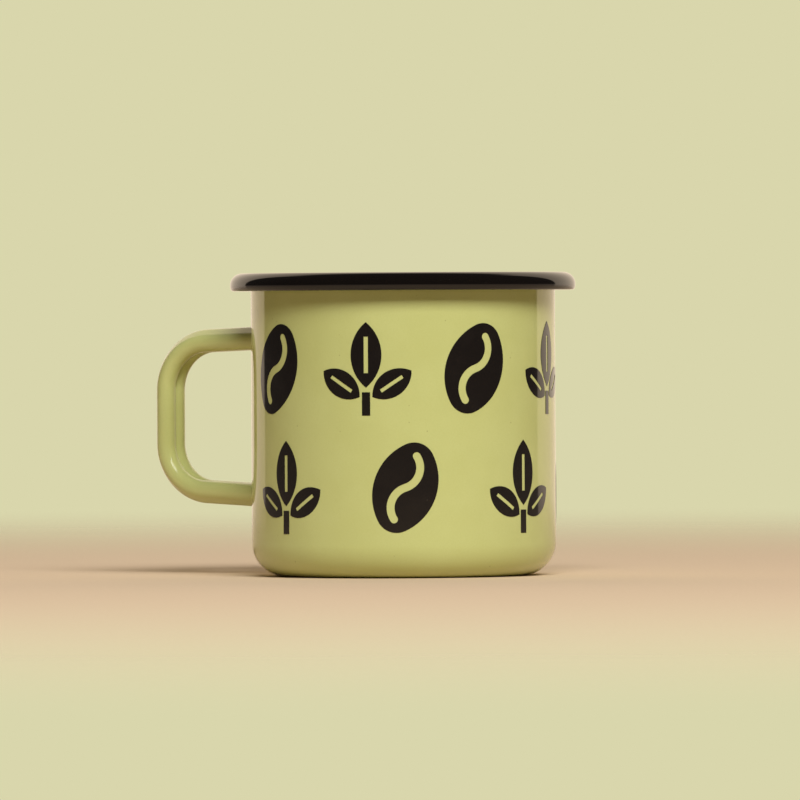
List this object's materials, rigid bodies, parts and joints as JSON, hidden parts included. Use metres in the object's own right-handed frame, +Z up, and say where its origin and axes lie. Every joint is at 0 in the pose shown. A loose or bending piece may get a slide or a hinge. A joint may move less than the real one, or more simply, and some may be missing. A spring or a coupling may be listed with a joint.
{
  "type": "enamel mug",
  "caption": "Straight-sided enamelled steel mug with a rolled black rim, a D-shaped handle of rolled strip and bold bean and leaf motifs printed round the wall.",
  "frame": {"origin": "centre of the standing ring, on the mug's axis", "axes": "+Z up through the mouth, -X towards the handle, and the XZ plane through the middle of the handle"},
  "size_m": [0.1204, 0.0908, 0.0797],
  "materials": {
    "steel": "bare deep-drawn sheet, hidden under the enamel",
    "weld": "welded steel, hidden under the enamel",
    "lime_enamel": "glossy yellow-green vitreous enamel with a soft orange peel",
    "white_enamel": "glossy off-white vitreous enamel",
    "black_enamel": "high-gloss black vitreous enamel",
    "black_print": "black ceramic print, fired on and slightly less glossy than the coat under it"
  },
  "bodies": {
    "root": {"steel_cup": "steel", "handle_strip": "steel", "upper_weld": "weld", "lower_weld": "weld", "outside_enamel": "lime_enamel", "base_enamel": "lime_enamel", "inside_enamel": "white_enamel", "rim_enamel": "black_enamel", "handle_enamel": "lime_enamel", "upper_print_row": "black_print", "lower_print_row": "black_print"}
  },
  "joints": []
}
